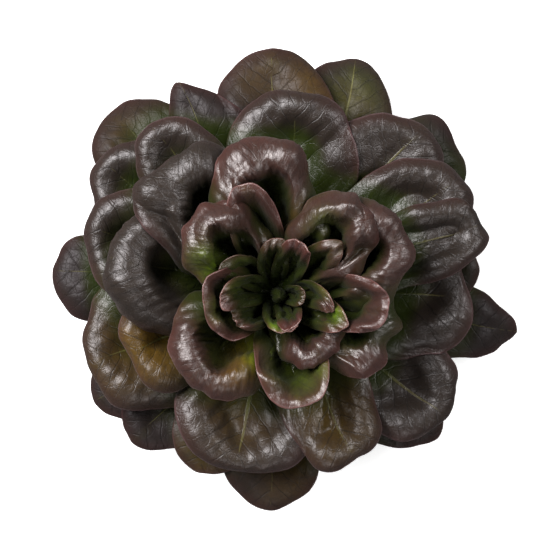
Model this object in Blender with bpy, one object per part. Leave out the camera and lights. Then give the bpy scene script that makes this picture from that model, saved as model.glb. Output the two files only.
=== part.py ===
"""A whole head of red butterhead lettuce, cut at the stem and standing on its cut face.

The stem is a short upright stump on the origin. Every large leaf is a solid of its own, and the small leaves
of the heart are joined on the growing tip above the stem. Metres, +Z up, the cut face on Z = 0.
"""

import math

import bmesh
import bpy
import numpy as np

MM = 0.001

# Stem: a stump with a flat cut face below
STEM_RADIUS = 12.0 * MM
STEM_CUT_RADIUS = 12.6 * MM
STEM_FLARE_HEIGHT = 2.5 * MM
STEM_TOP = 34.0 * MM
STEM_SIDES = 24

# Growing tip on top of the stem, which carries the small leaves
TIP_RADIUS = 11.5 * MM
TIP_TOP_RADIUS = 3.5 * MM
TIP_TOP = 56.0 * MM
TIP_SIDES = 8
TIP_ROOT_RADIUS = 2.5 * MM

# Room between neighbouring solids
STEM_GAP = 0.4 * MM
ROOT_GAP = 0.8 * MM
LEAF_GAP = 0.6 * MM

# The leaves lie in nested bowls round the stem. These are the heights of the lowest and of the highest bowl,
# in millimetres, at these distances from the stem's axis; a leaf's level is its place between the two.
BOWL_RADII = (0, 12, 20, 30, 45, 60, 80, 100, 115, 128, 142)
LOW_BOWL = (4, 4.5, 6, 9, 14, 19, 24, 26, 24, 19, 11)
HIGH_BOWL = (52, 57, 68, 82, 95, 102, 106, 107, 106, 104, 102)
BOWL_EASE = 9.0
OUTER_LEVELS = (0.0, 0.17)
MIDDLE_LEVELS = (0.2, 0.5)
INNER_LEVELS = (0.54, 0.72)
HEART_LEVELS = (0.73, 0.94)

# Flesh of a leaf: thin at the margin, thicker along the midrib, thickest at the root
MARGIN_THICKNESS = 0.8 * MM
RIB_THICKNESS = 1.2 * MM
ROOT_THICKNESS = 1.8 * MM

# How fast a blade narrows into its stalk
STALK = 1.25

# Faces of a leaf: ribs on each side of the tip, and the shares of a rib's length where the surface is cut
RIBS_EACH_SIDE = 7
RIB_SPREAD = 1.4
OUTER_SHARES = (0.0, 0.4, 0.72, 1.0)
RIB_SHARES = (0.0, 0.32, 0.58, 0.8, 1.0)
INNER_RIBS_EACH_SIDE = 8
INNER_SHARES = (0.0, 0.25, 0.6, 1.0)
SMALL_RIBS_EACH_SIDE = 4
SMALL_SHARES = (0.0, 0.6, 1.0)
PROFILE_STEPS = 48

# Height map of what has been laid so far, which the next leaf has to clear
MAP_HALF_SIDE = 150.0 * MM
MAP_CELL = 0.8 * MM
SPREAD_CELLS = 1
LIFT_ROUNDS = 24
LIFT_SLOPE = 0.9
MOST_INNER_LIFT = 7.0 * MM
MOST_HEART_LIFT = 2.5 * MM

# The kinds of leaf: flat outer ones, cupped middle ones, hoods that roll outwards over a deep hollow,
# cups that stand up with a thin rim, and the small leaves of the heart. Angles are in degrees, lengths in mm:
# - curl is how far the blade bends up (or, below 0, down) towards its tip, side_curl the same at its sides,
#   and turn the share of a rib where that begins
# - rim is how far the margin stands above the bowl at the tip, and side_rim the same at the sides; it rises
#   from the share foot of a rib over the share wall, and dies away past the angle fade from the tip
# - cup is how far the sides stand above the midrib, hollow the share of the reach where the midrib ends, and
#   broad the share where the blade is widest
# - root is the half width of the stalk at the stem, swirl a turn of the leaf round the head, and roll a tilt
#   about its own axis
# - waves and ruffle are the number and the slope of the margin's waves, phase where they start, and point how
#   pointed the tip is
OUTER = dict(
    curl=-30, side_curl=-30, turn=0.45, rim=3, side_rim=2, foot=0.3, wall=0.7, fade=80, cup=0, hollow=0.74,
    broad=0.66, root=5.5, swirl=0, roll=0, waves=3.0, ruffle=9, phase=0.0, point=1.0,
)
MIDDLE = dict(
    curl=-62, side_curl=-46, turn=0.42, rim=11, side_rim=9, foot=0.25, wall=0.65, fade=80, cup=3, hollow=0.64,
    broad=0.64, root=5.5, swirl=0, roll=0, waves=2.5, ruffle=10, phase=0.3, point=0.85,
)
HOOD = dict(
    curl=-100, side_curl=-90, turn=0.5, rim=32, side_rim=26, foot=0.2, wall=0.36, fade=100, cup=3, hollow=0.5,
    broad=0.62, root=5.0, swirl=0, roll=0, waves=2.0, ruffle=10, phase=0.1, point=0.75,
)
CUP = dict(
    curl=-35, side_curl=-20, turn=0.7, rim=30, side_rim=26, foot=0.3, wall=0.6, fade=90, cup=3, hollow=0.5,
    broad=0.62, root=5.0, swirl=0, roll=0, waves=2.0, ruffle=10, phase=0.1, point=0.75,
)
HEART = dict(
    curl=-50, side_curl=-40, turn=0.6, rim=28, side_rim=18, foot=0.1, wall=0.7, fade=95, cup=3, hollow=0.45,
    broad=0.58, root=3.5, swirl=0, roll=0, waves=1.5, ruffle=14, phase=0.2, point=0.8,
)


def leaf(kind, azimuth, reach, width, **changes):
    """One leaf: azimuth in degrees from +X, reach of its tip from the stem's axis, and width."""
    return dict(kind, azimuth=azimuth, reach=reach, width=width, **changes)


# From the lowest leaf to the highest, which is the order in which they lie on each other
OUTER_LEAVES = {
    "outer_leaf_01": leaf(OUTER, -9, 134, 42, point=1.3),
    "outer_leaf_02": leaf(OUTER, 42, 129, 56, point=0.5, phase=0.4),
    "outer_leaf_03": leaf(OUTER, 67, 136, 60, swirl=4, phase=0.7),
    "outer_leaf_04": leaf(OUTER, 132, 136, 60, point=0.8),
    "outer_leaf_05": leaf(OUTER, 174, 125, 56, phase=0.2),
    "outer_leaf_06": leaf(OUTER, -149, 117, 50),
    "outer_leaf_07": leaf(OUTER, -43, 118, 50, point=1.2, phase=0.5),
    "outer_leaf_08": leaf(OUTER, -134, 113, 52, phase=0.8),
    "outer_leaf_09": leaf(OUTER, -92, 119, 56, phase=0.3),
    "outer_leaf_10": leaf(OUTER, -114, 107, 50),
    "outer_leaf_11": leaf(OUTER, 23, 116, 50, phase=0.6),
    "outer_leaf_12": leaf(OUTER, 91, 133, 68, phase=0.1),
    "outer_leaf_13": leaf(OUTER, 115, 126, 54, point=1.8, phase=0.4),
    "outer_leaf_14": leaf(OUTER, 7, 110, 46),
}
MIDDLE_LEAVES = {
    "middle_leaf_01": leaf(MIDDLE, -159, 110, 78, phase=0.1),
    "middle_leaf_02": leaf(MIDDLE, 143, 121, 58),
    "middle_leaf_03": leaf(MIDDLE, -36, 114, 62, phase=0.6),
    "middle_leaf_04": leaf(MIDDLE, 49, 119, 66, phase=0.0),
    "middle_leaf_05": leaf(MIDDLE, 84, 107, 74, phase=0.5),
    "middle_leaf_06": leaf(MIDDLE, -1, 105, 70),
    "middle_leaf_07": leaf(MIDDLE, 160, 108, 60, phase=0.8),
    "middle_leaf_08": leaf(MIDDLE, 32, 117, 54, phase=0.2),
    "middle_leaf_09": leaf(MIDDLE, -104, 98, 76, phase=0.6),
    "middle_leaf_10": leaf(MIDDLE, -65, 101, 52, point=1.0),
    "middle_leaf_11": leaf(MIDDLE, 19, 118, 42, phase=0.7),
    "middle_leaf_12": leaf(MIDDLE, -158, 88, 56, rim=14, side_rim=12, foot=0.15, curl=-70, side_curl=-60),
    "middle_leaf_13": leaf(MIDDLE, 127, 113, 48, phase=0.4),
    "middle_leaf_14": leaf(HOOD, 168, 90, 68, rim=24, side_rim=20, hollow=0.42, foot=0.12, root=5.5),
    "middle_leaf_15": leaf(HOOD, 130, 94, 64, rim=25, side_rim=20, foot=0.14, root=5.5),
}
INNER_LEAVES = {
    "inner_leaf_01": leaf(HOOD, -135, 65, 60),
    "inner_leaf_02": leaf(HOOD, 98, 83, 54, side_rim=30),
    "inner_leaf_03": leaf(CUP, -78, 61, 38),
    "inner_leaf_04": leaf(HOOD, -23, 67, 54, phase=0.4, rim=22, side_rim=16),
    "inner_leaf_05": leaf(HOOD, 25, 74, 58, phase=0.7),
    "inner_leaf_06": leaf(HOOD, -52, 43, 38, rim=26, side_rim=20),
    "inner_leaf_07": leaf(CUP, -8, 59, 30),
    "inner_leaf_08": leaf(HOOD, 46, 65, 44, side_rim=28),
    "inner_leaf_09": leaf(HOOD, 138, 60, 46, side_rim=28, phase=0.3),
    "inner_leaf_10": leaf(CUP, 108, 59, 28, rim=22, side_rim=18),
    "inner_leaf_11": leaf(CUP, -168, 39, 38, phase=0.5),
}
HEART_LEAVES = {
    "heart_leaf_01": leaf(HEART, 58, 45, 19, curl=-130, side_curl=-100),
    "heart_leaf_02": leaf(HEART, -24, 40, 19, side_rim=16, point=1.1),
    "heart_leaf_03": leaf(HEART, 137, 33, 18, phase=0.6, swirl=18),
    "heart_leaf_04": leaf(HEART, 38, 43, 19, curl=-60, phase=0.8, point=1.3),
    "heart_leaf_05": leaf(HEART, -128, 27, 18, phase=0.4, swirl=-20),
    "heart_leaf_06": leaf(HEART, 104, 29, 17, curl=-90, swirl=-15),
    "heart_leaf_07": leaf(HEART, 8, 31, 14, curl=-80, phase=0.9, swirl=-25, point=1.2),
    "heart_leaf_08": leaf(HEART, -98, 21, 17, swirl=25),
    "heart_leaf_09": leaf(HEART, 168, 30, 18, phase=0.7, swirl=20),
    "heart_leaf_10": leaf(HEART, 66, 30, 18, curl=-30, phase=0.5),
    "heart_leaf_11": leaf(HEART, -48, 20, 15, rim=26, swirl=-20),
    "heart_leaf_12": leaf(HEART, -8, 15, 11, rim=24, phase=0.9),
}

STEM_FLESH = ("stem_flesh", (0.62, 0.66, 0.36), 0.55)
LEAF_FLESH = ("leaf_flesh", (0.085, 0.045, 0.042), 0.38)


def smooth(x):
    """0 below 0, 1 above 1, and an even turn between them."""
    x = np.clip(x, 0.0, 1.0)
    return x * x * (3 - 2 * x)


def outline(one, around, root_radius):
    """Plan of the margin, for angles around the blade from its tip (0) to its root (pi), either side."""
    reach, half, root = one["reach"] * MM, one["width"] * MM / 2, one["root"] * MM
    middle = root_radius + (reach - root_radius) * one["broad"]
    front, back = reach - middle, middle - root_radius
    cosine, sine = np.cos(around), np.sin(np.abs(around))
    x = middle + np.where(cosine > 0, front, back) * cosine
    sine = np.clip(sine, 0, 1)
    y = np.where(cosine > 0, half * sine ** one["point"], root + (half - root) * sine ** STALK)
    return x, y * np.sign(around)


def bowl(radius, level):
    """Height of the bowl of that level at a distance from the stem's axis."""
    offsets = np.linspace(-1, 1, 9) * BOWL_EASE
    radius = radius[..., None] / MM + offsets
    low = np.interp(radius, BOWL_RADII, LOW_BOWL).mean(axis=-1)
    high = np.interp(radius, BOWL_RADII, HIGH_BOWL).mean(axis=-1)
    return (low + (high - low) * level) * MM


def rib_paths(one, around, start_x, edge_x, edge_y):
    """Distance from the midrib and height along each rib, which bends off the leaf's bowl at its margin."""
    cosine = np.cos(around)
    tip = (np.clip(cosine, 0, 1) ** 1.5)[:, None]
    blade = (1 - smooth((np.abs(around) - math.radians(one["fade"])) / math.radians(60)))[:, None]
    share = np.linspace(0, 1, PROFILE_STEPS + 1)
    middle = (share[1:] + share[:-1]) / 2
    bending = smooth((middle - one["turn"]) / (1 - one["turn"]))[None, :]
    waves = np.sin(around * one["waves"] + one["phase"] * 2 * math.pi)[:, None]
    bend = one["curl"] * tip + one["side_curl"] * (1 - tip) + one["ruffle"] * waves
    bend = np.radians(bend * blade) * bending
    away = np.hypot(edge_x - start_x, edge_y)
    heading = np.arctan2(edge_y, edge_x - start_x)
    length = away.copy()
    half = one["width"] * MM / 2
    front = 1 - smooth((np.abs(around) - math.radians(40)) / math.radians(55))[:, None]
    rim = (one["side_rim"] + (one["rim"] - one["side_rim"]) * front) * MM
    for _ in range(4):
        out = share * length[:, None]
        x, y = start_x[:, None] + out * np.cos(heading)[:, None], out * np.sin(heading)[:, None]
        height = bowl(np.hypot(x, y), one["level"]) + one["cup"] * MM * (y / half) ** 2
        height = height + rim * smooth((share - one["foot"]) / one["wall"]) * blade
        across, up = np.diff(out, axis=1), np.diff(height, axis=1)
        slope, step = np.arctan2(up, across) + bend, np.hypot(across, up)
        run, rise = np.cumsum(np.cos(slope) * step, axis=1), np.cumsum(np.sin(slope) * step, axis=1)
        length = length * away / run.max(axis=1)
    start = np.zeros((len(around), 1))
    return share, np.hstack([start, run]), height[:, :1] + np.hstack([start, rise]), heading


def leaf_surface(one, ribs, shares, root_radius):
    """Points and triangles of the leaf's middle surface, its edge, and each point's place on it."""
    even = np.linspace(-1, 1, 2 * ribs + 1)
    around = math.pi * np.sign(even) * np.abs(even) ** RIB_SPREAD
    edge_x, edge_y = outline(one, around, root_radius)
    end_x = root_radius + (one["reach"] * MM - root_radius) * one["hollow"]
    start_x = root_radius + (end_x - root_radius) * np.clip((1 + np.cos(around)) / 2, 0, 1) ** 0.9
    share, run, height, heading = rib_paths(one, around, start_x, edge_x, edge_y)
    points, places = [], []
    number = {}
    for k in range(2 * ribs + 1):
        for j, s in enumerate(shares):
            if j == 0 and k > ribs:
                number[k, 0] = number[2 * ribs - k, 0]
                continue
            out, up = np.interp(s, share, run[k]), np.interp(s, share, height[k])
            number[k, j] = len(points)
            points.append((start_x[k] + out * math.cos(heading[k]), out * math.sin(heading[k]), up))
            places.append((around[k], s))
    faces = []
    last = len(shares) - 1
    for k in range(2 * ribs):
        for j in range(last):
            a, b, c, d = number[k, j], number[k, j + 1], number[k + 1, j + 1], number[k + 1, j]
            faces += split(a, b, c, d, k < ribs)
    edge = [number[k, last] for k in range(2 * ribs + 1)]
    edge += [number[2 * ribs, j] for j in range(last - 1, -1, -1)]
    edge += [number[0, j] for j in range(1, last)]
    return turned(one, np.array(points)), np.array(faces), edge, np.array(places)


def split(a, b, c, d, left):
    """Two triangles of the four-sided cell, cut alike either side of the midrib. Equal corners leave one."""
    pair = [(a, b, c), (a, c, d)] if left else [(a, b, d), (b, c, d)]
    return [t for t in pair if len(set(t)) == 3]


def turned(one, points):
    """The leaf's points rolled about its own axis, swirled round the head and turned to its azimuth."""
    x, y, z = points.T
    z = z + y * math.tan(math.radians(one["roll"])) * smooth(x / (0.3 * one["reach"] * MM))
    radius, angle = np.hypot(x, y), np.arctan2(y, x)
    swirl = one["swirl"] * (radius / (one["reach"] * MM)) ** 2
    angle = angle + np.radians(one["azimuth"] + swirl)
    return np.column_stack([radius * np.cos(angle), radius * np.sin(angle), z])


def normals(points, faces):
    """Upward normal at each point, as the mean of its triangles'."""
    a, b, c = (points[faces[:, i]] for i in range(3))
    flat = np.cross(b - a, c - a)
    total = np.zeros_like(points)
    for i in range(3):
        np.add.at(total, faces[:, i], flat)
    return total / np.maximum(np.linalg.norm(total, axis=1), 1e-12)[:, None]


def thickness(places, radius, root_radius):
    """Thickness at each point: thin at the margin, more along the midrib and most at the root."""
    along = np.exp(-((places[:, 1] / 0.22) ** 2))
    near = 1 - smooth((radius - root_radius) / (30 * MM))
    return MARGIN_THICKNESS + (RIB_THICKNESS - MARGIN_THICKNESS) * along + (
        ROOT_THICKNESS - RIB_THICKNESS
    ) * near * along


def faces_of_leaf(points, faces, places, root_radius):
    """Upper and lower points of the leaf, its thickness laid along the normals but upright at the root."""
    up = normals(points, faces)
    radius = np.hypot(points[:, 0], points[:, 1])
    outwards = np.column_stack([points[:, 0], points[:, 1], np.zeros(len(points))]) / radius[:, None]
    inward = (up * outwards).sum(axis=1)
    held = 1 - smooth((radius - root_radius - 2 * MM) / (8 * MM))
    up = up - outwards * (inward * held)[:, None]
    up /= np.maximum(np.linalg.norm(up, axis=1), 1e-9)[:, None]
    half = thickness(places, radius, root_radius)[:, None] / 2
    return points + up * half, points - up * half


def lattice(count):
    """Barycentric weights of an even lattice over a triangle."""
    i, j = np.meshgrid(np.arange(count + 1), np.arange(count + 1), indexing="ij")
    keep = i + j <= count
    i, j = i[keep], j[keep]
    return np.column_stack([i, j, count - i - j]) / count


class Heap:
    """Height of the top of what has been laid so far, on a square grid of cells."""

    def __init__(self):
        self.count = int(2 * MAP_HALF_SIDE / MAP_CELL)
        self.top = np.zeros((self.count, self.count))
        self.spread = self.top.copy()

    def cells(self, points):
        index = ((points[..., :2] + MAP_HALF_SIDE) / MAP_CELL).astype(int)
        return np.clip(index, 0, self.count - 1)

    def add(self, points, faces):
        corners = points[faces]
        longest = np.linalg.norm(corners - np.roll(corners, 1, axis=1), axis=2).max(axis=1)
        counts = 2 ** np.ceil(np.log2(np.maximum(longest / (MAP_CELL * 0.7), 2))).astype(int)
        for count in np.unique(counts):
            samples = np.einsum("sw,twc->tsc", lattice(count), corners[counts == count]).reshape(-1, 3)
            cell = self.cells(samples)
            np.maximum.at(self.top, (cell[:, 0], cell[:, 1]), samples[:, 2])
        padded = np.pad(self.top, SPREAD_CELLS, mode="edge")
        size = 2 * SPREAD_CELLS + 1
        views = [padded[i : i + self.count, j : j + self.count] for i in range(size) for j in range(size)]
        self.spread = np.max(views, axis=0)

    def height(self, points):
        cell = self.cells(points)
        return self.spread[cell[..., 0], cell[..., 1]]


def neighbours(faces):
    """Pairs of points that share an edge, each both ways round."""
    pairs = np.concatenate([faces[:, [0, 1]], faces[:, [1, 2]], faces[:, [2, 0]]])
    pairs = np.concatenate([pairs, pairs[:, ::-1]])
    return np.unique(pairs, axis=0)


def laid(points, faces, places, heap, root_radius):
    """How far each point of the leaf has to rise for all of it to be clear above what was laid before."""
    pairs = neighbours(faces)
    apart = np.linalg.norm((points[pairs[:, 0]] - points[pairs[:, 1]])[:, :2], axis=1)
    weights = lattice(8)
    effect = weights / (weights**2).sum(axis=1, keepdims=True)
    lift = np.zeros(len(points))
    for _ in range(LIFT_ROUNDS):
        moved = points + np.array([0, 0, 1.0]) * lift[:, None]
        _, lower = faces_of_leaf(moved, faces, places, root_radius)
        samples = np.einsum("sw,twc->tsc", weights, lower[faces])
        short = np.clip(heap.height(samples) + LEAF_GAP - samples[..., 2], 0, None)
        if short.max() < 0.02 * MM:
            break
        share = (short[..., None] * effect[None]).max(axis=1)
        more = np.zeros(len(points))
        for i in range(3):
            np.maximum.at(more, faces[:, i], share[:, i])
        lift = lift + more
        for _ in range(6):
            np.maximum.at(lift, pairs[:, 0], lift[pairs[:, 1]] - LIFT_SLOPE * apart)
    return lift


def solid(upper, lower, faces, edge):
    """Points and triangles of the closed leaf between its two faces."""
    count = len(upper)
    rows = [tuple(f) for f in faces] + [tuple(count + i for i in f[::-1]) for f in faces]
    for a, b in zip(edge, edge[1:] + edge[:1]):
        rows += [(b, a, count + a), (b, count + a, count + b)]
    return np.concatenate([upper, lower]), rows


def material(name, colour, roughness):
    """A plain finish with that colour and roughness."""
    made = bpy.data.materials.get(name) or bpy.data.materials.new(name)
    made.use_nodes = True
    shader = made.node_tree.nodes["Principled BSDF"]
    shader.inputs["Base Color"].default_value = (*colour, 1.0)
    shader.inputs["Roughness"].default_value = roughness
    shader.inputs["Metallic"].default_value = 0.0
    return made


def add_object(name, points, faces, finish):
    mesh = bpy.data.meshes.new(name)
    mesh.from_pydata([tuple(p) for p in points], [], [tuple(int(i) for i in f) for f in faces])
    mesh.update()
    made = bpy.data.objects.new(name, mesh)
    bpy.context.scene.collection.objects.link(made)
    mesh.materials.append(material(*finish))
    mesh.shade_smooth()
    mesh.set_sharp_from_angle(angle=math.radians(40))
    return made


def turned_solid(profile, sides):
    """A closed solid turned round Z from (radius, height) pairs that start and end off the axis."""
    points = [
        (r * math.cos(2 * math.pi * k / sides), r * math.sin(2 * math.pi * k / sides), z)
        for r, z in profile
        for k in range(sides)
    ]
    faces = [tuple(range(sides - 1, -1, -1))]
    for i in range(len(profile) - 1):
        for k in range(sides):
            n = (k + 1) % sides
            faces.append((i * sides + k, i * sides + n, (i + 1) * sides + n, (i + 1) * sides + k))
    faces.append(tuple((len(profile) - 1) * sides + k for k in range(sides)))
    return points, faces


def build_stem():
    profile = [
        (STEM_CUT_RADIUS - 0.8 * MM, 0.0),
        (STEM_CUT_RADIUS, 0.8 * MM),
        (STEM_RADIUS, STEM_FLARE_HEIGHT),
        (STEM_RADIUS, STEM_TOP - 1 * MM),
        (STEM_RADIUS - 1 * MM, STEM_TOP),
    ]
    points, faces = turned_solid(profile, STEM_SIDES)
    return add_object("stem", points, faces, STEM_FLESH)


def levelled(leaves, levels):
    """The leaves with their names, each at its level between the two that are given."""
    places = np.linspace(*levels, len(leaves))
    return [(name, dict(one, level=level)) for (name, one), level in zip(leaves.items(), places)]


def build_leaves(heap):
    """Every large leaf, each a solid of its own."""
    root_radius = STEM_RADIUS + ROOT_GAP
    rows = [(OUTER_SHARES, r) for r in levelled(OUTER_LEAVES, OUTER_LEVELS)]
    rows += [(RIB_SHARES, r) for r in levelled(MIDDLE_LEAVES, MIDDLE_LEVELS)]
    for shares, (name, one) in rows:
        points, faces, edge, places = leaf_surface(one, RIBS_EACH_SIDE, shares, root_radius)
        points[:, 2] += laid(points, faces, places, heap, root_radius)
        upper, lower = faces_of_leaf(points, faces, places, root_radius)
        heap.add(upper, faces)
        add_object(name, *solid(upper, lower, faces, edge), LEAF_FLESH)


def skins_of(work):
    """The separate closed skins of a mesh, each as a set of its points."""
    left, skins = set(work.verts), []
    while left:
        skin, ends = set(), [left.pop()]
        while ends:
            point = ends.pop()
            skin.add(point)
            for edge in point.link_edges:
                other = edge.other_vert(point)
                if other in left:
                    left.remove(other)
                    ends.append(other)
        skins.append(skin)
    return skins


def fill_pockets(mesh):
    """Fills the pockets that crossing leaves close off: skins that face inwards are taken out."""
    work = bmesh.new()
    work.from_mesh(mesh)
    for skin in skins_of(work):
        faces = {face for point in skin for face in point.link_faces}
        volume = sum(f.calc_area() * f.normal.dot(f.calc_center_median()) for f in faces) / 3
        if volume < 0:
            bmesh.ops.delete(work, geom=list(skin), context="VERTS")
    work.to_mesh(mesh)
    work.free()


def build_heart(heap):
    """The small leaves, joined on the growing tip above the stem."""
    base = STEM_TOP + STEM_GAP
    profile = [(TIP_RADIUS - 1 * MM, base), (TIP_RADIUS, base + 1 * MM), (TIP_TOP_RADIUS, TIP_TOP)]
    tip = add_object("heart", *turned_solid(profile, TIP_SIDES), LEAF_FLESH)
    disc, _ = turned_solid([(STEM_RADIUS, base - LEAF_GAP)], TIP_SIDES)
    heap.add(np.array(disc), np.array([(0, k, k + 1) for k in range(1, TIP_SIDES - 1)]))
    pieces = bpy.data.collections.new("heart pieces")
    bpy.context.scene.collection.children.link(pieces)
    inner = (INNER_RIBS_EACH_SIDE, INNER_SHARES, MOST_INNER_LIFT)
    small = (SMALL_RIBS_EACH_SIDE, SMALL_SHARES, MOST_HEART_LIFT)
    rows = [(*inner, *r) for r in levelled(INNER_LEAVES, INNER_LEVELS)]
    rows += [(*small, *r) for r in levelled(HEART_LEAVES, HEART_LEVELS)]
    below = Heap()
    below.top, below.spread = heap.top.copy(), heap.spread.copy()
    for ribs, shares, most, name, one in rows:
        points, faces, edge, places = leaf_surface(one, ribs, shares, TIP_ROOT_RADIUS)
        points[:, 2] += np.minimum(laid(points, faces, places, heap, TIP_ROOT_RADIUS), most)
        points[:, 2] += laid(points, faces, places, below, TIP_ROOT_RADIUS)
        upper, lower = faces_of_leaf(points, faces, places, TIP_ROOT_RADIUS)
        heap.add(upper, faces)
        made = add_object(name, *solid(upper, lower, faces, edge), LEAF_FLESH)
        bpy.context.scene.collection.objects.unlink(made)
        pieces.objects.link(made)
    union = tip.modifiers.new("join", "BOOLEAN")
    union.operation, union.operand_type = "UNION", "COLLECTION"
    union.solver, union.collection = "MANIFOLD", pieces
    bpy.context.view_layer.update()
    joined = bpy.data.meshes.new_from_object(tip.evaluated_get(bpy.context.evaluated_depsgraph_get()))
    tip.modifiers.clear()
    tip.data = joined
    fill_pockets(joined)
    for made in list(pieces.objects):
        bpy.data.objects.remove(made)
    bpy.data.collections.remove(pieces)
    return tip


def main():
    for old in list(bpy.data.objects):
        bpy.data.objects.remove(old)
    heap = Heap()
    build_stem()
    build_leaves(heap)
    build_heart(heap)


main()
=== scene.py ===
"""The dressed head of red butterhead lettuce.

Every leaf is made again with its veins, blisters, curled margin and colours. The frame is in metres.
"""

import math

import bpy
import numpy as np
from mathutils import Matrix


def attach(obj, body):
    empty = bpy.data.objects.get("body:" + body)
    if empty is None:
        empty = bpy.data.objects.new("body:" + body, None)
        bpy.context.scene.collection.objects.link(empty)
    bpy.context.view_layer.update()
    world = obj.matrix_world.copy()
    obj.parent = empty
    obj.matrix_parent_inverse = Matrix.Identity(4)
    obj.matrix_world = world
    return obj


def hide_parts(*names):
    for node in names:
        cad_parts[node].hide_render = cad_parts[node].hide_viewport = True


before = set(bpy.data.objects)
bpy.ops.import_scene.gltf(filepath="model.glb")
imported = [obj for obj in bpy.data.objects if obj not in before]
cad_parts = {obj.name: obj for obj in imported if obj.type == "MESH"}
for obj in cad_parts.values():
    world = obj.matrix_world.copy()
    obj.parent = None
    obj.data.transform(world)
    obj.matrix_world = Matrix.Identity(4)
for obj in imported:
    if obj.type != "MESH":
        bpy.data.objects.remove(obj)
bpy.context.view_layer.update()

MM = 0.001

# Each leaf's seed for its lobes and relief, the lowest leaf's being one step above the first
FIRST_SEED = 100
SEED_STEP = 10

# Stem and growing tip as in the solids, how far off the stem the large leaves begin, and the gap between leaves
STEM_RADIUS = 12.0 * MM
STEM_TOP = 34.0 * MM
ROOT_GAP = 0.8 * MM
TIP_ROOT_RADIUS = 2.5 * MM
LEAF_GAP = 0.5 * MM

# Nested bowls in which the leaves lie: heights of the lowest and the highest at distances from the stem's axis,
# and the distance over which their turns are eased, in millimetres. A level is a share of the way up
BOWL_RADII = (0, 12, 20, 30, 45, 60, 80, 100, 115, 128, 142)
LOW_BOWL = (4, 4.5, 6, 9, 14, 19, 24, 26, 24, 19, 11)
HIGH_BOWL = (52, 57, 68, 82, 95, 102, 106, 107, 106, 104, 102)
BOWL_EASE = 9.0
OUTER_LEVELS = (0.0, 0.17)
MIDDLE_LEVELS = (0.2, 0.5)
INNER_LEVELS = (0.54, 0.72)
HEART_LEVELS = (0.73, 0.94)

# Flesh of a leaf: thickness at its margin, midrib and root, and how far off the midrib (in millimetres) and out
# from the root it is thick
MARGIN_THICKNESS = 0.45 * MM
RIB_THICKNESS = 1.1 * MM
ROOT_THICKNESS = 2.0 * MM
RIB_HALF_WIDTH = 3.2
ROOT_LENGTH = 34.0 * MM

# Outline: how fast the blade narrows to its stalk, then numbers of waves round it, and the share that they take
STALK = 1.25
LOBES = (2, 3, 5, 8, 13, 19)
LOBE_DEPTH = 0.04

# How far round the blade from its tip, in radians, a form begins to die away, and over how much: the higher rim
# at the tip, the lobes and the relief. For the curl and the rim, each kind of leaf says where that begins
RIM_FRONT = (math.radians(40), math.radians(55))
LOBES_END = (1.6, 1.0)
RELIEF_END = (1.7, 0.9)
CURL_FADES_OVER = math.radians(60)

# Fineness: ribs on each side of a leaf and steps along each, closer to each other at the tip and the margin.
# Then the rounds in which the length of a curled rib is fitted to its place in the outline
LARGE = (44, 34)
SMALL = (26, 22)
RIB_SPREAD = 1.3
STEP_SPREAD = 0.9
RUN_ROUNDS = 4

# Height map of what has been laid so far, how a leaf's rise spreads over it, and how far it may rise at most
MAP_HALF_SIDE = 150.0 * MM
MAP_CELL = 0.8 * MM
FILLING_STEPS = (0.0, 0.25, 0.5, 0.75)
LIFT_ROUNDS = 10
LIFT_SLOPE = 0.9
NEAR_ENOUGH = 0.05 * MM
MOST_LARGE_LIFT = 1000.0 * MM
MOST_INNER_LIFT = 7.0 * MM
MOST_HEART_LIFT = 2.5 * MM

# Midrib: its half width, least half width and wander, in millimetres. Side veins: their distance along it, how
# far they lean to the tip, and their bend
MIDRIB_WIDTH = 1.9
LEAST_MIDRIB = 0.16
MIDRIB_WANDER = (0.9, 11.0)
VEIN_SPACING = 10.5
VEIN_SWEEP = 0.85
VEIN_BEND = 0.006

# Relief of a blade 60 mm wide, in millimetres: the fold at its midrib, then the height and the shortest and
# longest waves of its blisters, of its broad unevenness and, for each degree of ruffle, of its margin's frill.
# The frill begins at a share of each rib, side veins wander by a share of the distance between them, and the
# quilt of the blade begins off the midrib. Next to the root the relief is calm
RELIEF_WIDTH = 60.0
FOLD_DEPTH = 1.6
FOLD_HALF_WIDTH = 4.5
FOLD_END = 12.0
BLISTERS = (0.2, 6, 11)
BROAD_WAVES = (2.0, 32, 60)
FRILL = (1 / 18, 18, 34)
FRILL_START = 0.72
VEIN_WANDER = (0.12, 18, 30)
QUILT_START = 1.5
QUILT_RISE = 8.0
ROOT_CALM = 10.0 * MM
CROSSING_WAVES = 7

# How far around a point counts for how deep it lies in a hollow. Then, for each group of leaves, where hollows
# begin to turn greener and to take painted shade, and over what depth they do, in millimetres below the leaves
# around
HOLLOW_REACH = 9.0 * MM
HOLLOWS = {"outer": (18, 28), "middle": (18, 28), "inner": (8, 16), "heart": (3, 12)}

# The closed bud, in millimetres: the height of its foot, its own height, its radii, and how far its tip leans
BUD_POINTS_AROUND = 72
BUD_ROWS = 40
BUD_FOOT = 46.0
BUD_HEIGHT = 33.0
BUD_NECK = 2.2
BUD_SWELL = 2.2
BUD_LEAN = (1.5, -2.5)
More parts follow.
